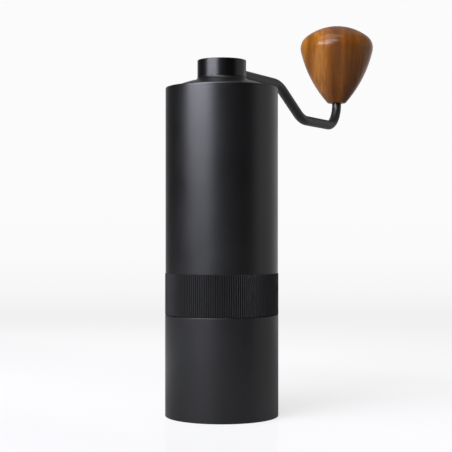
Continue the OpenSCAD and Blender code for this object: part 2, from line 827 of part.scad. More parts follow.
catch_cup();
body_tube();
grip_ring();
burr_frame();
outer_burr();
burr_lock_ring();
bracket(z_low_bracket);  // lower_bracket
hopper_liner();
bracket(z_top_bracket);  // upper_bracket
cup_seal();
outer_race(z_low_bracket);  // lower_outer_race
outer_race(z_top_bracket);  // upper_outer_race
shields(z_low_bracket);  // lower_shields
shields(z_top_bracket);  // upper_shields
bearing_circlips();
balls(z_low_bracket);  // lower_balls
cage(z_low_bracket);  // lower_cage
balls(z_top_bracket);  // upper_balls
cage(z_top_bracket);  // upper_cage
drive_shaft();
inner_race(z_low_bracket);  // lower_inner_race
inner_race(z_top_bracket);  // upper_inner_race
shaft_clips();
spring_seat();
burr_spring();
inner_burr();
burr_carrier();
adjust_dial();
detent_balls();
detent_springs();
lid();
lid_bush();
lid_seal();
crank_hub();
crank_arm();
drive_socket();
arm_pin();
thrust_washer();
lid_clip();
knob_clip();
knob();
knob_bush(0, bush_l);  // knob_lower_bush
knob_bush(upper_bush_at, bush_l);  // knob_upper_bush
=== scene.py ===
import math

import bpy
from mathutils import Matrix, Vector


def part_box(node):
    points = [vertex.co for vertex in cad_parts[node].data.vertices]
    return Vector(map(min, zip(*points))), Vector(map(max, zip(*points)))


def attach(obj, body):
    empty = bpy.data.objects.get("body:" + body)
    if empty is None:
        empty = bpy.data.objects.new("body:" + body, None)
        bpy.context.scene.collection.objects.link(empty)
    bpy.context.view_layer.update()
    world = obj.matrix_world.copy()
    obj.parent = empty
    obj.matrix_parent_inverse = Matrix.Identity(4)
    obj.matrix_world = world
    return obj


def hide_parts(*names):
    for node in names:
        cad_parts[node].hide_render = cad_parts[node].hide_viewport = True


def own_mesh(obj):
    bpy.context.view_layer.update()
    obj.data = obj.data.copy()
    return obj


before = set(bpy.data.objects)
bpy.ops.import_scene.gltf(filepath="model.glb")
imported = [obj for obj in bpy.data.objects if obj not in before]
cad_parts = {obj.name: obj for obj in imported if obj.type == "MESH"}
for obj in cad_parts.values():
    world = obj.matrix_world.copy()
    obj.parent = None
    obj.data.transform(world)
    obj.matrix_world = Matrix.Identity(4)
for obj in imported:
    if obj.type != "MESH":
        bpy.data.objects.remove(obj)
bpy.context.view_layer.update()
mm = 0.001

# ---- Drive shaft ----
# Stainless bar, turned and then milled to two flats below and a hexagon on top. A washer on
# it backs the burr spring.


def fill_sockets(material, node, sockets):
    """Links or sets a node's sockets by name."""
    for name, value in sockets.items():
        if isinstance(value, bpy.types.NodeSocket):
            material.node_tree.links.new(value, node.inputs[name])
        else:
            node.inputs[name].default_value = value


def add_node(material, kind, sockets, **settings):
    """Adds a node to a material's tree, with its settings and sockets filled."""
    node = material.node_tree.nodes.new("ShaderNode" + kind)
    for name, value in settings.items():
        setattr(node, name, value)
    fill_sockets(material, node, sockets)
    return node


def new_material(name):
    material = bpy.data.materials.new(name)
    material.use_nodes = True
    return material


def dress(material, sockets):
    """Fills the sockets of a material's surface shader."""
    fill_sockets(material, material.node_tree.nodes["Principled BSDF"], sockets)


def ramp(material, factor, *stops):
    """Colour, or grey where a stop has one number, that follows the factor through the stops."""
    made = add_node(material, "ValToRGB", {"Fac": factor})
    elements = made.color_ramp.elements
    elements.remove(elements[1])
    for i, (position, colour) in enumerate(stops):
        element = elements.new(position) if i else elements[0]
        element.position = position
        element.color = (*colour, 1) if isinstance(colour, tuple) else (colour, colour, colour, 1)
    return made.outputs["Color"]


def relief(material, height, depth, under=None):
    """Bump of the given depth, laid over another bump where one is given."""
    sockets = {"Height": height, "Distance": depth}
    if under is not None:
        sockets["Normal"] = under
    return add_node(material, "Bump", sockets).outputs["Normal"]


def lathe_marks(material, feed):
    """Fine tool marks: rings one above another on walls, one inside another on end faces."""
    place = add_node(material, "TexCoord", {}).outputs["Object"]
    wave = math.tau / 20
    marks = {"Vector": place, "Scale": wave / feed, "Distortion": 0.8, "Detail": 1.0}
    walls = add_node(material, "TexWave", marks, wave_type="BANDS", bands_direction="Z")
    faces = add_node(material, "TexWave", marks, wave_type="RINGS", rings_direction="Z")
    both = add_node(
        material, "Math", {0: walls.outputs["Fac"], 1: faces.outputs["Fac"]}, operation="ADD")
    return add_node(
        material, "Math", {0: both.outputs[0], 1: 0.5}, operation="MULTIPLY").outputs[0]


def turned_metal(name, dark, light, roughness, feed):
    """Bright metal off the lathe, with its tool marks in the sheen and the surface."""
    material = new_material(name)
    marks = lathe_marks(material, feed)
    dress(material, {
        "Metallic": 1.0,
        "Base Color": ramp(material, marks, (0.1, dark), (0.9, light)),
        "Roughness": ramp(material, marks, (0.0, 0.85 * roughness), (1.0, 1.15 * roughness)),
        "Normal": relief(material, marks, 0.015 * feed),
    })
    return material


def coat_parts(material, *nodes):
    """Gives parts that stay as they are their material."""
    for node in nodes:
        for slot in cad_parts[node].material_slots:
            slot.material = material


coat_parts(
    turned_metal(
        "turned_stainless_steel", (0.48, 0.48, 0.5), (0.64, 0.64, 0.66), 0.26, 0.1 * mm),
    "drive_shaft", "spring_seat")

# ---- Retaining rings ----
# Sprung steel, stamped and phosphated to a dark crystalline grey. They snap into grooves on
# the shaft, in the brackets, on the hub's boss and on the arm's upright end.


def grain(material, size, stretch=(1, 1, 1), detail=2.0, distortion=0.0, place=None):
    """Noise with spots of about the given size, drawn out along each axis by stretch."""
    if place is None:
        place = add_node(material, "TexCoord", {}).outputs["Object"]
    laid = add_node(material, "Mapping", {
        "Vector": place, "Scale": [1 / (size * by) for by in stretch]})
    return add_node(material, "TexNoise", {
        "Vector": laid.outputs["Vector"], "Scale": 1.0, "Detail": detail,
        "Distortion": distortion,
    }).outputs["Fac"]


def phosphated_steel(name):
    material = new_material(name)
    crystals = grain(material, 0.12 * mm, detail=3.0)
    dress(material, {
        "Metallic": 0.7,
        "Base Color": ramp(
            material, crystals, (0.35, (0.035, 0.035, 0.038)), (0.65, (0.085, 0.085, 0.09))),
        "Roughness": ramp(material, crystals, (0.3, 0.48), (0.7, 0.66)),
        "Normal": relief(material, crystals, 0.004 * mm),
    })
    return material


coat_parts(
    phosphated_steel("phosphated_spring_steel"),
    "shaft_clips", "bearing_circlips", "lid_clip", "knob_clip")

# ---- Bearings ----
# Rings and balls of ground and polished bearing steel, with a pressed brass cage that keeps
# the balls apart and a thin steel shield on each side.

coat_parts(
    turned_metal(
        "polished_bearing_steel", (0.66, 0.66, 0.68), (0.76, 0.76, 0.78), 0.12, 0.05 * mm),
    "lower_outer_race", "upper_outer_race", "lower_inner_race", "upper_inner_race",
    "lower_shields", "upper_shields", "lower_balls", "upper_balls")
coat_parts(
    turned_metal("pressed_brass", (0.5, 0.35, 0.12), (0.68, 0.5, 0.2), 0.3, 0.15 * mm),
    "lower_cage", "upper_cage")

# ---- Brackets, liner and lock ring ----
# Clear anodised aluminium. Two milled spiders carry the bearings, the plain liner keeps them
# apart, and the lock ring screws in below the ring burr.

bright_aluminium = turned_metal(
    "turned_aluminium", (0.5, 0.51, 0.53), (0.64, 0.65, 0.67), 0.32, 0.14 * mm)
coat_parts(
    bright_aluminium, "lower_bracket", "upper_bracket", "hopper_liner", "burr_lock_ring")

# ---- Burr frame ----
# The core of the body, turned from aluminium bar. The ring burr sits in it, its flange
# carries the grip band, and its spigot holds the catch cup on a rubber ring.


def start_vertex(name, x, z):
    """Begins a piece as one selected vertex, in edit mode."""
    bpy.ops.object.select_all(action="DESELECT")
    bpy.ops.mesh.primitive_plane_add(size=mm, location=(x, 0, z))
    piece = bpy.context.object
    piece.name = piece.data.name = name
    bpy.ops.object.transform_apply(location=True)
    bpy.ops.object.mode_set(mode="EDIT")
    bpy.ops.mesh.select_mode(type="VERT")
    bpy.ops.mesh.merge(type="CENTER")
    return piece


def close_mesh():
    """Merges what lies double, turns the faces outwards and leaves edit mode."""
    bpy.ops.mesh.select_all(action="SELECT")
    bpy.ops.mesh.remove_doubles(threshold=0.001 * mm)
    bpy.ops.mesh.normals_make_consistent(inside=False)
    bpy.ops.object.mode_set(mode="OBJECT")


def turned(name, outline, axis_x=0):
    """Turns a half outline of (radius, height) points round an upright axis."""
    sides = 256
    piece = start_vertex(name, axis_x + outline[0][0], outline[0][1])
    for (r0, z0), (r1, z1) in zip(outline, outline[1:]):
        bpy.ops.mesh.extrude_region_move(
            TRANSFORM_OT_translate={"value": (r1 - r0, 0, z1 - z0)})
    bpy.ops.mesh.select_all(action="SELECT")
    bpy.ops.mesh.spin(
        steps=sides, angle=math.tau, center=(axis_x, 0, 0), axis=(0, 0, 1))
    close_mesh()
    return piece


def apply_modifier(piece, kind, **settings):
    modifier = piece.modifiers.new(kind.lower(), kind)
    for name, value in settings.items():
        setattr(modifier, name, value)
    bpy.ops.object.modifier_apply(modifier=modifier.name)


def smooth(piece, crease=32):
    """Shades a piece smooth between its creases and keeps its long walls straight."""
    bpy.ops.object.shade_smooth_by_angle(angle=math.radians(crease))
    apply_modifier(piece, "WEIGHTED_NORMAL", mode="FACE_AREA", weight=100, keep_sharp=True)


def break_edges(piece, width, segments=2):
    """Takes the sharpness off a piece's corners and smooths what lies between them."""
    apply_modifier(
        piece, "BEVEL", width=width, segments=segments, limit_method="ANGLE",
        angle_limit=math.radians(28))
    smooth(piece)


def fit(piece, material, body, node):
    """Gives a new piece its material, its body and the part that it stands for."""
    piece.data.materials.clear()
    piece.data.materials.append(material)
    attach(piece, body)
    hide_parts(node)


frame_low, frame_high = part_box("burr_frame")
cup_seal_low, cup_seal_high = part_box("cup_seal")
band_low, band_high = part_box("grip_ring")
seat_gap = 0.02 * mm
spigot_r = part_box("hopper_liner")[1].x
seal_groove_r = spigot_r - 1 * mm
burr_seat_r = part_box("outer_burr")[1].x + seat_gap
burr_stop_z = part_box("outer_burr")[1].z
burr_stop_r = burr_seat_r - 1.2 * mm
flange_top = band_low.z + 1.5 * mm
spigot_chamfer = 0.5 * mm
burr_frame = turned("turned_burr_frame", [
    (burr_seat_r, frame_low.z), (burr_seat_r, burr_stop_z), (burr_stop_r, burr_stop_z),
    (burr_stop_r, frame_high.z), (spigot_r, frame_high.z), (spigot_r, flange_top),
    (frame_high.x, flange_top), (frame_high.x, band_low.z), (spigot_r, band_low.z),
    (spigot_r, cup_seal_high.z), (seal_groove_r, cup_seal_high.z),
    (seal_groove_r, cup_seal_low.z), (spigot_r, cup_seal_low.z),
    (spigot_r, frame_low.z + spigot_chamfer), (spigot_r - spigot_chamfer, frame_low.z),
    (burr_seat_r, frame_low.z),
])
break_edges(burr_frame, 0.06 * mm)
fit(burr_frame, bright_aluminium, "body", "burr_frame")

# ---- Burrs ----
# Hardened stainless steel, milled and then ground. The teeth have fine bright scratches, and their
# tone is darker or lighter in random patches a few millimetres across.


def ground_steel(name):
    material = new_material(name)
    scratches = grain(material, 0.25 * mm, stretch=(1, 1, 9), detail=4.0)
    milled = grain(material, 3 * mm, detail=3.0)
    dress(material, {
        "Metallic": 1.0,
        "Base Color": ramp(
            material, milled, (0.3, (0.33, 0.33, 0.34)), (0.55, (0.5, 0.5, 0.51)),
            (0.75, (0.58, 0.58, 0.59))),
        "Roughness": ramp(material, scratches, (0.3, 0.22), (0.7, 0.4)),
        "Normal": relief(material, scratches, 0.006 * mm),
    })
    return material


coat_parts(ground_steel("ground_burr_steel"), "outer_burr", "inner_burr")

# ---- Burr carrier and springs ----
# The carrier is a turned steel sleeve that slides on the shaft's flats. The burr spring, of
# bright drawn wire, presses it down on the dial and shortens as the dial lifts the burr.


def drawn_wire(name):
    material = new_material(name)
    tempered = grain(material, 4 * mm, detail=3.0)
    drawn = grain(material, 0.08 * mm, stretch=(6, 6, 1))
    dress(material, {
        "Metallic": 1.0,
        "Base Color": ramp(
            material, tempered, (0.35, (0.42, 0.4, 0.38)), (0.65, (0.5, 0.5, 0.52))),
        "Roughness": ramp(material, drawn, (0.3, 0.2), (0.7, 0.36)),
        "Normal": relief(material, drawn, 0.002 * mm),
    })
    return material


def coiled(name, outer_r, wire, bottom_z, top_z, coils):
    """Coils round wire about the grinding axis, out to the given radius."""
    bpy.ops.object.select_all(action="DESELECT")
    bpy.ops.mesh.primitive_circle_add(
        vertices=16, radius=wire / 2, rotation=(math.radians(90), 0, 0),
        location=(outer_r - wire / 2, 0, bottom_z + wire / 2))
    piece = bpy.context.object
    piece.name = piece.data.name = name
    bpy.ops.object.transform_apply()
    apply_modifier(
        piece, "SCREW", iterations=coils, steps=48, render_steps=48,
        screw_offset=(top_z - bottom_z - wire) / coils)
    bpy.ops.object.mode_set(mode="EDIT")
    bpy.ops.mesh.select_all(action="DESELECT")
    bpy.ops.mesh.select_non_manifold()
    bpy.ops.mesh.edge_face_add()
    close_mesh()
    smooth(piece, 50)
    return piece


carrier_steel = turned_metal(
    "turned_carrier_steel", (0.34, 0.35, 0.36), (0.46, 0.47, 0.48), 0.34, 0.12 * mm)
coat_parts(carrier_steel, "burr_carrier")
spring_wire = drawn_wire("drawn_spring_wire")
coat_parts(spring_wire, "detent_springs")
spring_low, spring_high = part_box("burr_spring")
wire_d = 1 * mm
spring_coils = 5
burr_spring = coiled(
    "coiled_burr_spring", spring_high.x, wire_d, spring_low.z, spring_high.z, spring_coils)
fit(burr_spring, spring_wire, "shaft", "burr_spring")
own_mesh(burr_spring)

# ---- Adjusting dial ----
# A scalloped finger nut of black anodised aluminium on the shaft's fine thread. Its underside
# has a shallow turned recess with raised, bright-cut numbers and a tick for each click.


def anodised(name, colour, roughness, tooth=0.12 * mm, shine=0.8):
    """Satin anodising over a blasted surface that keeps a faint trace of the lathe."""
    material = new_material(name)
    clouds = grain(material, 14 * mm, detail=3.0)
    blasted = grain(material, tooth, detail=2.0)
    dress(material, {
        "Base Color": ramp(
            material, clouds, (0.3, tuple(0.88 * c for c in colour)),
            (0.7, tuple(1.12 * c for c in colour))),
        "Roughness": ramp(
            material, clouds, (0.3, roughness - 0.02), (0.7, roughness + 0.02)),
        "Normal": relief(
            material, blasted, 0.025 * tooth,
            under=relief(
                material, grain(material, 3 * tooth, (25, 25, 1), detail=3.0), 0.03 * tooth,
                under=relief(material, grain(material, 4.5 * tooth), 0.05 * tooth))),
        "Specular IOR Level": shine,
    })
    return material


def add_bar(size, middle):
    """Adds a block to the mesh that is open in edit mode."""
    bpy.ops.mesh.primitive_cube_add(size=1, location=middle)
    bpy.ops.transform.resize(value=size)


def repeat_round(count):
    """Copies what is selected in edit mode round the grinding axis, the last on the first."""
    bpy.ops.mesh.spin(
        steps=count, dupli=True, angle=math.tau, center=(0, 0, 0), axis=(0, 0, 1))


def cut_with(piece, cutter):
    """Cuts the shape of one piece out of another and removes the cutter."""
    bpy.ops.object.select_all(action="DESELECT")
    piece.select_set(True)
    bpy.context.view_layer.objects.active = piece
    apply_modifier(piece, "BOOLEAN", object=cutter, operation="DIFFERENCE", solver="EXACT")
    bpy.data.objects.remove(cutter)


def pegs(name, count, radius, ring_r, bottom_z, top_z, first=0):
    """Upright pegs in a ring, as a cutter for what is drilled or scalloped."""
    bpy.ops.object.select_all(action="DESELECT")
    bpy.ops.mesh.primitive_cylinder_add(
        vertices=32, radius=radius, depth=top_z - bottom_z,
        location=(ring_r * math.cos(first), ring_r * math.sin(first), (bottom_z + top_z) / 2))
    piece = bpy.context.object
    piece.name = name
    bpy.ops.object.transform_apply()
    bpy.ops.object.mode_set(mode="EDIT")
    repeat_round(count)
    close_mesh()
    return piece


dial_low, dial_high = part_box("adjust_dial")
dial_bore_r = 4.05 * mm
dial_chamfer = 0.4 * mm
recess = 0.25 * mm
recess_r = (6.2 * mm, 13 * mm)
clicks = 12
dial = turned("turned_dial", [
    (dial_bore_r, dial_low.z), (dial_bore_r, dial_high.z),
    (dial_high.x - dial_chamfer, dial_high.z), (dial_high.x, dial_high.z - dial_chamfer),
    (dial_high.x, dial_low.z + dial_chamfer), (dial_high.x - dial_chamfer, dial_low.z),
    (recess_r[1], dial_low.z), (recess_r[1] - recess, dial_low.z + recess),
    (recess_r[0] + recess, dial_low.z + recess), (recess_r[0], dial_low.z),
    (dial_bore_r, dial_low.z),
])
scallops = 24
scallop_r = 1.1 * mm
scallop_ring_r = dial_high.x + 0.55 * mm
cut_with(dial, pegs(
    "scallops", scallops, scallop_r, scallop_ring_r, dial_low.z - mm, dial_high.z + mm,
    first=math.pi / scallops))
detent_holes = 2
detent_r = 1.05 * mm
detent_ring_r = 9.5 * mm
detent_depth = 4 * mm
cut_with(dial, pegs(
    "detent_holes", detent_holes, detent_r, detent_ring_r, dial_high.z - detent_depth,
    dial_high.z + mm))
break_edges(dial, 0.05 * mm, segments=1)
dial_black = anodised("black_anodised_dial", (0.014, 0.014, 0.0155), 0.4)
fit(dial, dial_black, "dial", "adjust_dial")
coat_parts(
    turned_metal(
        "polished_detent_balls", (0.62, 0.62, 0.64), (0.74, 0.74, 0.76), 0.14, 0.05 * mm),
    "detent_balls")

figure_h = 2.3 * mm
figure_ring_r = 8.8 * mm
tick_ring_r = 11.6 * mm
tick = (0.3 * mm, 1.5 * mm, recess)
numbers = []
for click in range(clicks):
    bpy.ops.object.select_all(action="DESELECT")
    bpy.ops.object.text_add()
    figure = bpy.context.object
    figure.data.body = str(click)
    figure.data.size = figure_h
    figure.data.extrude = recess / 2
    figure.data.align_x = figure.data.align_y = "CENTER"
    figure.location = (0, 0, dial_low.z + recess / 2)
    figure.rotation_euler = (math.pi, 0, 0)
    bpy.ops.object.convert(target="MESH")
    bpy.ops.object.transform_apply()
    figure.location = (0, -figure_ring_r, 0)
    bpy.ops.object.transform_apply()
    figure.rotation_euler = (0, 0, math.tau * click / clicks)
    bpy.ops.object.transform_apply()
    numbers.append(figure)
for figure in numbers:
    figure.select_set(True)
bpy.ops.object.join()
dial_numbers = bpy.context.object
dial_numbers.name = dial_numbers.data.name = "dial_numbers"
bpy.ops.object.mode_set(mode="EDIT")
bpy.ops.mesh.select_all(action="DESELECT")
add_bar(tick, (0, -tick_ring_r, dial_low.z + recess / 2))
repeat_round(clicks)
close_mesh()
dial_numbers.data.materials.append(bright_aluminium)
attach(dial_numbers, "dial")

# ---- Body tube ----
# The long upper tube, turned from aluminium tube, bead-blasted and anodised a satin black.
# Its mouth has a ledge for the lid, and its upper edge is eased so that it catches the light.


def arc(middle_r, middle_z, radius, start, end, steps):
    """Points of an arc in the half outline, its angles in degrees from the outward axis."""
    return [
        (middle_r + radius * math.cos(a), middle_z + radius * math.sin(a))
        for a in (math.radians(start + (end - start) * i / steps) for i in range(steps + 1))
    ]


tube_low, tube_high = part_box("body_tube")
lid_low, lid_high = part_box("lid")
tube_r = tube_high.x
bore_r = tube_r - 2.5 * mm
mouth_r = bore_r - 1 * mm
ledge_r = mouth_r - 1 * mm
edge = 0.6 * mm
seam_edge = 0.15 * mm
ledge_z = lid_low.z - 0.05 * mm
shoulder_z = tube_high.z - 12.5 * mm
rim_ease = ((0, 0.75), (0.05, 0.36), (0.14, 0.16), (0.3, 0.04))
body_tube = turned("turned_body_tube", [
    (bore_r, tube_low.z),
    *arc(tube_r - seam_edge, tube_low.z + seam_edge, seam_edge, -90, 0, 4),
    *((tube_r - inset * mm, tube_high.z - drop * mm) for inset, drop in rim_ease),
    (tube_r - edge, tube_high.z),
    (mouth_r + edge / 2, tube_high.z), (mouth_r, tube_high.z - edge / 2),
    (mouth_r, ledge_z), (ledge_r, ledge_z), (ledge_r, shoulder_z), (bore_r, shoulder_z),
    (bore_r, tube_low.z),
])
break_edges(body_tube, 0.1 * mm)
body_black = anodised("black_anodised_body", (0.002, 0.002, 0.0023), 0.36)
fit(body_tube, body_black, "body", "body_tube")

# ---- Grip band ----
# A ring of the same black aluminium with a fine straight knurl: narrow flat-topped ribs with a
# groove beside each, and both ends barely chamfered. Its surface is left bare.

knurl_depth = 0.4 * mm
rib_count = 160
rib_points = 6
band_chamfer = 0.08 * mm
band_r = band_high.x
band_bore_r = spigot_r + seat_gap
band_step_r = frame_high.x + seat_gap
bpy.ops.object.select_all(action="DESELECT")
bpy.ops.mesh.primitive_circle_add(
    vertices=rib_count * rib_points, radius=band_r, location=(0, 0, band_low.z))
grip_band = bpy.context.object
grip_band.name = grip_band.data.name = "knurled_grip_band"
bpy.ops.object.transform_apply()


def select_where(piece, chosen):
    """Selects the vertices of a mesh in edit mode for which chosen(number, place) is true."""
    bpy.ops.mesh.select_mode(type="VERT")
    bpy.ops.mesh.select_all(action="DESELECT")
    bpy.ops.object.mode_set(mode="OBJECT")
    for i, vertex in enumerate(piece.data.vertices):
        vertex.select = chosen(i, vertex.co)
    bpy.ops.object.mode_set(mode="EDIT")


def scale_ring(from_r, to_r):
    """Brings the selected ring of vertices from one radius to another."""
    share = to_r / from_r
    bpy.ops.transform.resize(value=(share, share, 1))


def raise_ring(rise):
    """Draws the selected ring of edges up into a wall."""
    bpy.ops.mesh.extrude_region_move(TRANSFORM_OT_translate={"value": (0, 0, rise)})


def add_cutter(name, radius, depth, middle, tilt=0, sides=48):
    """A round bar as a cutter for a drilled hole, tilted from upright towards +X."""
    bpy.ops.object.select_all(action="DESELECT")
    bpy.ops.mesh.primitive_cylinder_add(
        vertices=sides, radius=radius, depth=depth, location=middle,
        rotation=(0, math.radians(tilt), 0))
    cutter = bpy.context.object
    cutter.name = name
    bpy.ops.object.transform_apply()
    return cutter


bpy.ops.object.mode_set(mode="EDIT")
select_where(grip_band, lambda i, place: i % rib_points in (2, 5))
scale_ring(band_r, band_r - knurl_depth / 2)
select_where(grip_band, lambda i, place: i % rib_points in (3, 4))
scale_ring(band_r, band_r - knurl_depth)
bpy.ops.mesh.select_all(action="SELECT")
scale_ring(band_r, band_r - band_chamfer)
raise_ring(band_chamfer)
scale_ring(band_r - band_chamfer, band_r)
raise_ring(band_high.z - band_low.z - 2 * band_chamfer)
raise_ring(band_chamfer)
scale_ring(band_r, band_r - band_chamfer)
bpy.ops.mesh.select_all(action="DESELECT")
bpy.ops.mesh.select_non_manifold()
bpy.ops.mesh.edge_face_add()
close_mesh()
cut_with(grip_band, add_cutter(
    "flange_seat", band_step_r, 2 * (flange_top - band_low.z), (0, 0, band_low.z), sides=256))
cut_with(grip_band, add_cutter(
    "band_bore", band_bore_r, 3 * (band_high.z - band_low.z), (0, 0, band_high.z), sides=256))
smooth(grip_band)
band_black = anodised(
    "black_anodised_knurl", (0.0045, 0.0045, 0.0048), 0.46, 0.08 * mm, shine=0.5)
fit(grip_band, band_black, "body", "grip_ring")

# ---- Catch cup and its seal ----
# Turned from solid bar in the body's satin black, with a thin floor, a round inside corner and
# a shallow recess underneath that leaves a ring to stand on. The seal is nitrile rubber.


def moulded_rubber(name):
    material = new_material(name)
    dust = grain(material, 0.9 * mm, detail=4.0)
    skin = grain(material, 0.15 * mm, detail=3.0)
    dress(material, {
        "Specular IOR Level": 0.35,
        "Base Color": ramp(
            material, dust, (0.4, (0.011, 0.011, 0.011)), (0.75, (0.03, 0.029, 0.028))),
        "Roughness": ramp(material, dust, (0.3, 0.6), (0.7, 0.78)),
        "Normal": relief(material, skin, 0.008 * mm),
    })
    return material


coat_parts(moulded_rubber("moulded_nitrile_rubber"), "cup_seal", "lid_seal")
cup_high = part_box("catch_cup")[1]
cup_floor = 3 * mm
cup_fillet = 3 * mm
cup_wall = 3.1 * mm
cup_inner_r = cup_high.x - cup_wall
socket_r = spigot_r + 0.3 * mm
socket_z = frame_low.z - 0.5 * mm
foot_ring = 4.5 * mm
foot_recess = 0.4 * mm
foot_edge = 0.35 * mm
cup_edge = 0.3 * mm
catch_cup = turned("turned_catch_cup", [
    (0, foot_recess), (cup_high.x - foot_ring - foot_recess, foot_recess),
    (cup_high.x - foot_ring, 0), *arc(cup_high.x - foot_edge, foot_edge, foot_edge, -90, 0, 5),
    *arc(cup_high.x - cup_edge, cup_high.z - cup_edge, cup_edge, 0, 90, 5),
    (socket_r, cup_high.z), (socket_r, socket_z), (cup_inner_r, socket_z),
    *arc(cup_inner_r - cup_fillet, cup_floor + cup_fillet, cup_fillet, 0, -90, 10),
    (0, cup_floor),
])
break_edges(catch_cup, 0.1 * mm)
fit(catch_cup, body_black, "cup", "catch_cup")

# ---- Lid ----
# A shallow dome of black anodised aluminium with a low collar round the hub and a hollow plug
# below, sealed by a rubber ring. A cream plastic bush in its middle carries the crank's boss.


def bearing_plastic(name, dark, light):
    material = new_material(name)
    mottle = grain(material, 2.5 * mm, detail=4.0)
    skin = grain(material, 0.1 * mm)
    dress(material, {
        "Base Color": ramp(material, mottle, (0.3, dark), (0.7, light)),
        "Roughness": ramp(material, mottle, (0.3, 0.42), (0.7, 0.52)),
        "Normal": relief(material, skin, 0.002 * mm),
    })
    return material


cream_plastic = bearing_plastic("cream_bearing_plastic", (0.6, 0.57, 0.49), (0.7, 0.67, 0.6))
coat_parts(cream_plastic, "lid_bush", "thrust_washer")
hub_low, hub_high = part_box("crank_hub")
lid_seal_low, lid_seal_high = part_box("lid_seal")
bush_low, bush_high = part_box("lid_bush")
lid_r = lid_high.x
lid_wall = 2 * mm
lid_groove_r = lid_r - 1 * mm
land_z = lid_high.z
hub_z = land_z + 0.6 * mm
collar_r = hub_high.x
collar_z = hub_z - 0.04 * mm
collar_fillet = 1.5 * mm
collar_end = 255
lid_edge_z = tube_high.z + 0.3 * mm
lid_skirt_r = lid_r - lid_wall - 0.8 * mm
bush_flange_w = 1 * mm
bush_seat_r = bush_high.x - bush_flange_w + seat_gap
bush_boss_r = bush_seat_r + 2 * mm
bush_flange_z = bush_low.z + 0.8 * mm
collar = arc(collar_r + collar_fillet, collar_z, collar_fillet, 180, collar_end, 8)
crown_in_r, crown_top = collar[-1]
crown_fall = crown_top - lid_edge_z
crown_r = math.hypot(
    lid_r, (lid_r ** 2 - crown_in_r ** 2 - crown_fall ** 2) / (2 * crown_fall))
crown_z = crown_top - math.sqrt(crown_r ** 2 - crown_in_r ** 2)
lid = turned("turned_lid", [
    (bush_seat_r, bush_flange_z), (bush_seat_r, land_z), (collar_r, land_z), *collar,
    *arc(
        0, crown_z, crown_r, math.degrees(math.acos(crown_in_r / crown_r)),
        math.degrees(math.acos(lid_r / crown_r)), 14)[1:],
    (lid_r, lid_seal_high.z), (lid_groove_r, lid_seal_high.z),
    (lid_groove_r, lid_seal_low.z), (lid_r, lid_seal_low.z),
    (lid_r, lid_low.z + edge / 2), (lid_r - edge / 2, lid_low.z), (lid_skirt_r, lid_low.z),
    (lid_skirt_r, tube_high.z - 0.5 * mm), (bush_boss_r, land_z - lid_wall),
    (bush_boss_r, bush_flange_z), (bush_seat_r, bush_flange_z),
])
break_edges(lid, 0.1 * mm)
lid_black = anodised("black_anodised_lid", (0.003, 0.003, 0.0033), 0.37, shine=0.5)
fit(lid, lid_black, "lid", "lid")

# ---- Crank hub ----
# Turned from aluminium and anodised like the body. The arm goes into a hole in its side, held
# by a dowel from below, and a steel sleeve in its boss takes the shaft's hexagon.

arm_low, arm_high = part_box("crank_arm")
pin_low, pin_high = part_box("arm_pin")
clip_low, clip_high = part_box("lid_clip")
sleeve_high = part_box("drive_socket")[1]
arm_r = arm_high.y
hub_r = hub_high.x
hub_edge = 0.3 * mm
arm_rise = 3.4 * mm
arm_z = hub_z + arm_rise
boss_r = 6.5 * mm
boss_groove_r = boss_r - 0.7 * mm
sleeve_r = sleeve_high.x + seat_gap
crank_hub = turned("turned_crank_hub", [
    (0, hub_high.z), *arc(hub_r - hub_edge, hub_high.z - hub_edge, hub_edge, 90, 0, 5),
    (hub_r, hub_z), (boss_r, hub_z), (boss_r, clip_high.z),
    (boss_groove_r, clip_high.z), (boss_groove_r, clip_low.z), (boss_r, clip_low.z),
    (boss_r, hub_low.z + edge / 2), (boss_r - edge / 2, hub_low.z), (sleeve_r, hub_low.z),
    (sleeve_r, sleeve_high.z), (0, sleeve_high.z),
])
cut_with(crank_hub, add_cutter(
    "arm_hole", arm_r + seat_gap, hub_r, (arm_low.x + hub_r / 2, 0, arm_z), tilt=90))
pin_x = (pin_low.x + pin_high.x) / 2
pin_hole_r = pin_high.y + seat_gap
pin_hole_h = pin_high.z - hub_z + mm
cut_with(crank_hub, add_cutter(
    "pin_hole", pin_hole_r, pin_hole_h, (pin_x, 0, pin_high.z - pin_hole_h / 2)))
break_edges(crank_hub, 0.08 * mm)
hub_black = anodised("black_anodised_hub", (0.002, 0.002, 0.0023), 0.29, shine=0.6)
fit(crank_hub, hub_black, "crank", "crank_hub")
coat_parts(bpy.data.materials["turned_stainless_steel"], "drive_socket", "arm_pin")

# ---- Crank arm ----
# Round steel bar, bent cold three times and powder coated a satin black. It leaves the hub
# level, drops, runs level again and turns up as the pin that the knob spins on.


def powder_coated(name, upright_x, upright_z):
    """Satin powder coat with a slight orange peel, rubbed smoother at the pin's foot."""
    material = new_material(name)
    clouds = grain(material, 8 * mm, detail=3.0)
    peel = grain(material, 0.5 * mm, detail=1.0)
    speck = grain(material, 0.09 * mm)
    place = add_node(material, "TexCoord", {}).outputs["Object"]
    up_pin = add_node(
        material, "VectorMath", {0: place, 1: (1, 0, 1)}, operation="DOT_PRODUCT")
    rubbed = add_node(material, "MapRange", {
        "Value": up_pin.outputs["Value"], "From Min": upright_x + upright_z - 4 * mm,
        "From Max": upright_x + upright_z + 2 * mm, "To Max": 0.15})
    dress(material, {
        "Base Color": ramp(
            material, clouds, (0.3, (0.0145, 0.0145, 0.0145)), (0.7, (0.019, 0.019, 0.0185))),
        "Roughness": add_node(material, "Math", {
            0: ramp(material, peel, (0.3, 0.38), (0.7, 0.5)), 1: rubbed.outputs["Result"],
        }, operation="SUBTRACT").outputs[0],
        "Normal": relief(
            material, speck, 0.003 * mm, under=relief(material, peel, 0.008 * mm)),
    })
    return material


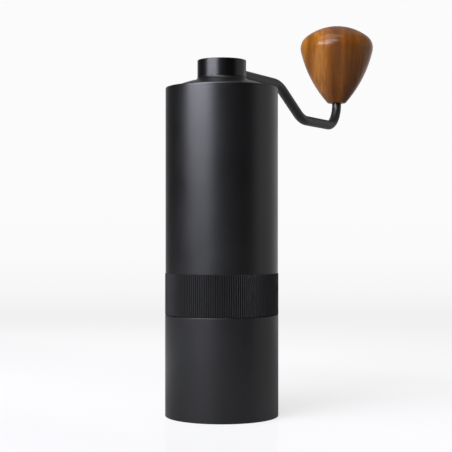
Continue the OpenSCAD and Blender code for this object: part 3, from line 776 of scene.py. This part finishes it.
def extrude_bar(heading, length):
    """Draws the bar's open end on, straight along its heading."""
    bpy.ops.mesh.extrude_region_move(TRANSFORM_OT_translate={
        "value": (length * math.cos(heading), 0, length * math.sin(heading))})


def scale_end(by, x, z):
    """Changes the size of the bar's open end about its own middle."""
    bpy.ops.transform.resize(value=(by, by, by), center_override=(x, 0, z))


knob_low, knob_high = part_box("knob")
knob_clip_low, knob_clip_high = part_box("knob_clip")
crank_r = (knob_low.x + knob_high.x) / 2
drop_h = 16 * mm
drop_from_x = 64 * mm
drop_to_x = 94.5 * mm
low_z = arm_z - drop_h
corners = [
    (arm_low.x, arm_z), (drop_from_x, arm_z), (drop_to_x, low_z), (crank_r, low_z),
    (crank_r, arm_high.z),
]
# The last bend ends where the knob's lower bush begins, so that the bush runs on a straight bar.
drop_bend_r = 26 * mm
bend_radii = [drop_bend_r, drop_bend_r, knob_low.z - low_z]
bar_chamfer = 0.4 * mm
clip_groove = 0.5 * mm
tip_share = (arm_r - bar_chamfer) / arm_r
groove_share = (arm_r - clip_groove) / arm_r
headings = [
    math.atan2(z1 - z0, x1 - x0) for (x0, z0), (x1, z1) in zip(corners, corners[1:])]
bpy.ops.object.select_all(action="DESELECT")
bpy.ops.mesh.primitive_circle_add(
    vertices=64, radius=arm_r * tip_share, rotation=(0, math.radians(90), 0),
    location=(arm_low.x, 0, arm_z))
crank_arm = bpy.context.object
crank_arm.name = crank_arm.data.name = "bent_crank_arm"
bpy.ops.object.transform_apply()
bpy.ops.object.mode_set(mode="EDIT")
extrude_bar(0, bar_chamfer)
scale_end(1 / tip_share, arm_low.x + bar_chamfer, arm_z)
at_x, at_z = arm_low.x + bar_chamfer, arm_z
for corner, radius, before, after in zip(corners[1:], bend_radii, headings, headings[1:]):
    turn = after - before
    way_round = math.copysign(1, turn)
    taken = radius * math.tan(abs(turn) / 2)
    extrude_bar(before, math.hypot(corner[0] - at_x, corner[1] - at_z) - taken)
    start_x = corner[0] - taken * math.cos(before)
    start_z = corner[1] - taken * math.sin(before)
    bpy.ops.mesh.spin(
        steps=20, angle=abs(turn), axis=(0, way_round, 0),
        center=(start_x - way_round * radius * math.sin(before), 0,
                start_z + way_round * radius * math.cos(before)))
    at_x = corner[0] + taken * math.cos(after)
    at_z = corner[1] + taken * math.sin(after)
groove_z = (knob_clip_low.z - seat_gap, knob_clip_high.z + seat_gap)
extrude_bar(headings[-1], groove_z[0] - at_z)
bpy.ops.mesh.extrude_region_move()
scale_end(groove_share, crank_r, groove_z[0])
extrude_bar(headings[-1], groove_z[1] - groove_z[0])
bpy.ops.mesh.extrude_region_move()
scale_end(1 / groove_share, crank_r, groove_z[1])
extrude_bar(headings[-1], arm_high.z - bar_chamfer - groove_z[1])
extrude_bar(headings[-1], bar_chamfer)
scale_end(tip_share, crank_r, arm_high.z)
bpy.ops.mesh.select_all(action="DESELECT")
bpy.ops.mesh.select_non_manifold()
bpy.ops.mesh.edge_face_add()
close_mesh()
cut_with(crank_arm, add_cutter(
    "pin_hole", pin_hole_r, 4 * arm_r, (pin_x, 0, arm_z)))
smooth(crank_arm)
rub_z = low_z + 6 * mm
fit(crank_arm, powder_coated("powder_coated_steel", crank_r, rub_z), "crank", "crank_arm")

# ---- Knob ----
# Turned from one piece of walnut with its grain upright and lacquered. Two dark plastic
# bushes in its bore run on the arm's end, and a ring between them keeps it from coming off.


def lacquered_walnut(name, axis_x):
    """Wood sawn so that its layers stand upright, with streaks, growth lines and fine pores, and a
    painted highlight: the streaks are lightest at the edge where the key light falls.
    """
    material = new_material(name)
    place = add_node(material, "TexCoord", {}).outputs["Object"]
    board = add_node(material, "Mapping", {
        "Vector": place, "Location": (axis_x, 0, 0), "Rotation": (0, 0, math.radians(-63)),
    }, vector_type="TEXTURE").outputs["Vector"]
    drift = grain(material, 9 * mm, (1, 2, 3), detail=1.0, place=board)
    lines = grain(material, 1.4 * mm, (1, 5, 24), detail=3.0, distortion=0.3, place=board)
    fibres = grain(material, 0.35 * mm, (1, 1, 26), detail=3.0, place=board)
    pores = grain(material, 0.16 * mm, (1, 1, 16), detail=1.0, place=board)
    half_board = 24 * mm
    across = add_node(material, "MapRange", {
        "Value": add_node(material, "SeparateXYZ", {"Vector": board}).outputs["X"],
        "From Min": -half_board, "From Max": half_board, "To Min": -0.01, "To Max": 0.99})
    depth = add_node(material, "Math", {
        0: drift, 1: 0.08, 2: across.outputs["Result"]}, operation="MULTIPLY_ADD")
    # Streaks across the board: real grain, but the two lightest stops at -20 and -17.5 mm are
    # painted light for the key light on that edge of the knob.
    streaks_with_painted_light = ramp(material, depth.outputs[0], *(
        (0.5 + at * mm / (2 * half_board), tone) for at, tone in (
            (-20, 0.95), (-17.5, 0.85), (-15, 0.5), (-13.5, 0.6), (-11, 0.76), (-5, 0.62),
            (-1.2, 0.2), (0.8, 0.3), (3.5, 0.55), (6.2, 0.28), (9, 0.4), (13, 0.6), (20, 0.7))))
    tone = add_node(material, "Math", {0: lines, 1: 0.5, 2: streaks_with_painted_light}, operation="MULTIPLY_ADD")
    wood = ramp(
        material, tone.outputs[0], (0.25, (0.105, 0.028, 0.003)), (0.55, (0.178, 0.054, 0.005)),
        (0.85, (0.28, 0.088, 0.008)), (1.0, (0.44, 0.165, 0.016)))
    for layer in (
        ramp(material, fibres, (0.35, 0.88), (0.6, 1.0)),
        ramp(material, pores, (0.32, 0.6), (0.39, 1.0)),
    ):
        wood = add_node(
            material, "MixRGB", {"Fac": 1.0, "Color1": wood, "Color2": layer},
            blend_type="MULTIPLY").outputs["Color"]
    dress(material, {
        "Base Color": wood,
        "Roughness": ramp(material, fibres, (0.3, 0.6), (0.7, 0.5)),
        "Specular IOR Level": 0.1,
        "Normal": relief(material, pores, 0.005 * mm),
        "Coat Weight": 0.6,
        "Coat Roughness": 0.22,
    })
    return material


def touching_circle(a, a_radius, b, b_radius, radius):
    """Middle of a circle that holds two smaller circles and touches both."""
    gap = Vector(b) - Vector(a)
    along = ((radius - a_radius) ** 2 - (radius - b_radius) ** 2 + gap.length ** 2) / (
        2 * gap.length)
    off = math.sqrt((radius - a_radius) ** 2 - along ** 2)
    way = gap.normalized()
    return Vector(a) + along * way + off * Vector((way.y, -way.x))


knob_r = knob_high.x - crank_r
crown_z = knob_high.z - 0.4 * mm
crown_h = 12.5 * mm
shoulder_radius = 8.1 * mm
flank_radius = 67.5 * mm
foot_radius = 1.6 * mm
foot_wall = 0.95 * mm
knob_bore_r = 3.3 * mm
knob_bore_z = arm_high.z + mm
crown_radius = (knob_r ** 2 - 2 * knob_r * shoulder_radius + crown_h ** 2) / (
    2 * (crown_h - shoulder_radius))
shoulder = (knob_r - shoulder_radius, crown_z - crown_h)
foot = (knob_bore_r + foot_wall, knob_low.z + foot_radius)
flank = touching_circle(shoulder, shoulder_radius, foot, foot_radius, flank_radius)
crown_end = math.degrees(math.atan2(crown_radius - crown_h, knob_r - shoulder_radius))
flank_from = math.degrees(math.atan2(shoulder[1] - flank.y, shoulder[0] - flank.x))
flank_to = math.degrees(math.atan2(foot[1] - flank.y, foot[0] - flank.x))
knob = turned("turned_walnut_knob", [
    *arc(0, crown_z - crown_radius, crown_radius, 90, crown_end, 24),
    *arc(*shoulder, shoulder_radius, crown_end, flank_from, 20)[1:],
    *arc(*flank, flank_radius, flank_from, flank_to, 24)[1:],
    *arc(*foot, foot_radius, flank_to, -90, 8)[1:],
    (knob_bore_r, knob_low.z), (knob_bore_r, knob_bore_z), (0, knob_bore_z),
], axis_x=crank_r)
smooth(knob)
fit(knob, lacquered_walnut("lacquered_walnut", crank_r), "knob", "knob")
coat_parts(
    bearing_plastic("dark_bearing_plastic", (0.03, 0.03, 0.033), (0.045, 0.045, 0.05)),
    "knob_lower_bush", "knob_upper_bush")

# ---- Studio ----
# A pale, faintly glossy table that fades into a white room, three soft boxes to the left, and a
# camera a little above the grip band. The object mirrors a darker room than the camera sees, so
# that its black parts stay dark.

ahead = Vector((0.890, 0.455, 0)).normalized()
to_right = Vector((ahead.y, -ahead.x, 0))
camera_distance = 0.5726
camera_z = 0.08924
bpy.ops.object.select_all(action="DESELECT")
bpy.ops.object.camera_add(
    location=to_right * 2 * mm - ahead * camera_distance + Vector((0, 0, camera_z)),
    rotation=ahead.to_track_quat("-Z", "Y").to_euler())
camera = bpy.context.object
camera.data.lens = 96.6
camera.data.shift_y = 0.0007
camera.data.sensor_width = 36
camera.data.clip_start = 0.01
bpy.context.scene.camera = camera


def soft_box(name, azimuth, elevation, distance, width, height, radiance, colour, target_z):
    """An area light that faces the object; azimuth counts from the camera to its right."""
    a, e = math.radians(azimuth), math.radians(elevation)
    way = (to_right * math.sin(a) - ahead * math.cos(a)) * math.cos(e) + Vector(
        (0, 0, math.sin(e)))
    bpy.ops.object.light_add(
        type="AREA", location=way * distance + Vector((0, 0, target_z)),
        rotation=(-way).to_track_quat("-Z", "Y").to_euler())
    lamp = bpy.context.object
    lamp.name = lamp.data.name = name
    lamp.data.shape = "RECTANGLE"
    lamp.data.size = width
    lamp.data.size_y = height
    lamp.data.energy = radiance * math.pi * width * height
    lamp.data.color = colour


window_light = (0.87, 0.885, 1.0)
soft_box("key_soft_box", -46.6, 20.4, 0.75, 0.68, 0.27, 11, window_light, 0.12)
soft_box("upper_soft_box", -25, 40, 0.85, 0.64, 0.26, 8, window_light, 0.14)
soft_box("overhead_soft_box", -46.6, 76, 0.8, 0.62, 0.62, 2.3, (1.0, 0.98, 0.96), 0.16)

world = bpy.data.worlds.new("white_room")
world.use_nodes = True
bpy.context.scene.world = world
direction = add_node(world, "TexCoord", {}).outputs["Generated"]


def share_along(material, vector, axis):
    """How far a vector reaches along an axis."""
    return add_node(
        material, "VectorMath", {0: vector, 1: axis}, operation="DOT_PRODUCT").outputs["Value"]


view_turn = add_node(world, "Math", {
    0: share_along(world, direction, to_right), 1: share_along(world, direction, -ahead),
}, operation="ARCTAN2")
bearing = add_node(world, "MapRange", {
    "Value": view_turn.outputs[0], "From Min": -math.pi, "From Max": math.pi})
walls = ramp(world, bearing.outputs["Result"], *(
    (0.5 + degrees / 360, (radiance, 0.965 * radiance, 0.99 * radiance))
    for degrees, radiance in (
        (-180, 0.85), (-160, 0.62), (-150, 0.32), (-140, 0.14), (-130, 0.07), (-112, 0.03),
        (-10, 0.015), (64, 0.01), (76, 0.5), (92, 0.48), (112, 0.42), (130, 0.5),
        (140, 0.72), (180, 0.85))))
backdrop = ramp(
    world, add_node(world, "MapRange", {
        "Value": share_along(world, direction, (0, 0, 1)), "From Min": -0.08, "From Max": 0.02,
    }).outputs["Result"],
    (0.1, 0.88), (0.27, 0.925), (0.4, 0.94), (0.6, 0.955), (1.0, 0.965))
world_rays = add_node(world, "LightPath", {}).outputs
falloff = add_node(world, "MapRange", {
    "Value": share_along(world, direction, (0, 0, 1)),
    "From Min": 0.15, "From Max": 0.5, "To Min": 1.0, "To Max": 0.4})
dimmed = add_node(world, "VectorMath", {
    0: walls, "Scale": falloff.outputs["Result"]}, operation="SCALE")
fill_sockets(world, world.node_tree.nodes["Background"], {
    "Color": add_node(world, "MixRGB", {
        "Fac": world_rays["Is Camera Ray"], "Color1": dimmed.outputs["Vector"],
        "Color2": backdrop,
    }).outputs["Color"],
})

bpy.ops.object.select_all(action="DESELECT")
table_r = 1.2
bpy.ops.mesh.primitive_circle_add(vertices=128, radius=table_r, fill_type="NGON")
table = bpy.context.object
table.name = "table_top"
white_top = new_material("white_table_top")
on_table = add_node(white_top, "TexCoord", {}).outputs["Object"]
reach = add_node(
    white_top, "VectorMath", {0: on_table}, operation="LENGTH").outputs["Value"]
table_rays = add_node(white_top, "LightPath", {}).outputs
# Painted light: in reflections and bounced light the table is lighter behind the object on its
# left, a painted pool of light; the camera sees a plain 0.28.
painted_window_light = add_node(white_top, "MapRange", {
    "Value": share_along(white_top, on_table, ahead * 0.8 - to_right * 0.6),
    "From Min": 0.08, "From Max": 0.16, "To Min": 0.3, "To Max": 0.6,
}).outputs["Result"]
lit = add_node(white_top, "MapRange", {
    "Value": table_rays["Is Camera Ray"], "To Min": painted_window_light, "To Max": 0.28}).outputs["Result"]
# Painted light: the table's glow, seen in full by the camera and at 0.11 in reflections, rises
# towards the back and right, where the lamps light it less, so that it looks evenly white.
painted_far_glow = add_node(white_top, "MapRange", {
    "Value": share_along(white_top, on_table, ahead * 0.8 + to_right * 0.6),
    "From Min": -0.12, "From Max": 0.4,
}).outputs["Result"]
mirrored = add_node(white_top, "Math", {
    0: table_rays["Is Glossy Ray"], 1: 0.11}, operation="MULTIPLY")
glow = add_node(white_top, "Math", {
    0: table_rays["Is Camera Ray"], 1: 1.0, 2: mirrored.outputs[0]}, operation="MULTIPLY_ADD")
dress(white_top, {
    "Base Color": lit, "Roughness": 1.0, "Specular IOR Level": 0.0,
    "Emission Color": ramp(
        white_top, painted_far_glow, (0.0, 0.635), (0.08, 0.655), (0.15, 0.69), (0.25, 0.715),
        (0.42, 0.725), (0.54, 0.74), (0.65, 0.765), (0.8, 0.765), (1.0, 0.765)),
    "Emission Strength": glow.outputs[0],
})
gloss = add_node(white_top, "MapRange", {
    "Value": reach, "From Min": 0.09, "From Max": 0.2, "To Min": 0.045, "To Max": 0.0})
glazed = add_node(white_top, "MixShader", {
    0: gloss.outputs["Result"], 1: white_top.node_tree.nodes["Principled BSDF"].outputs["BSDF"],
    2: add_node(white_top, "BsdfGlossy", {"Roughness": 0.07}).outputs["BSDF"]})
haze = add_node(white_top, "MapRange", {
    "Value": reach, "From Min": 0.44, "From Max": 0.62}, interpolation_type="SMOOTHSTEP")
seen_haze = add_node(white_top, "Math", {
    0: haze.outputs["Result"], 1: table_rays["Is Camera Ray"]}, operation="MULTIPLY")
hazy = add_node(white_top, "MixShader", {
    0: seen_haze.outputs[0], 1: glazed.outputs[0],
    2: add_node(white_top, "Emission", {"Color": (0.88, 0.88, 0.88, 1)}).outputs[0]})
fade = add_node(white_top, "MapRange", {
    "Value": reach, "From Min": 0.62, "From Max": 0.8}, interpolation_type="SMOOTHSTEP")
below = add_node(white_top, "NewGeometry", {}).outputs["Backfacing"]
gone = add_node(
    white_top, "Math", {0: fade.outputs["Result"], 1: below}, operation="MAXIMUM").outputs[0]
top = add_node(white_top, "MixShader", {
    0: gone, 1: hazy.outputs[0],
    2: add_node(white_top, "BsdfTransparent", {}).outputs["BSDF"]})
fill_sockets(
    white_top, white_top.node_tree.nodes["Material Output"], {"Surface": top.outputs[0]})
table.data.materials.append(white_top)
bpy.context.scene.view_settings.view_transform = "Standard"
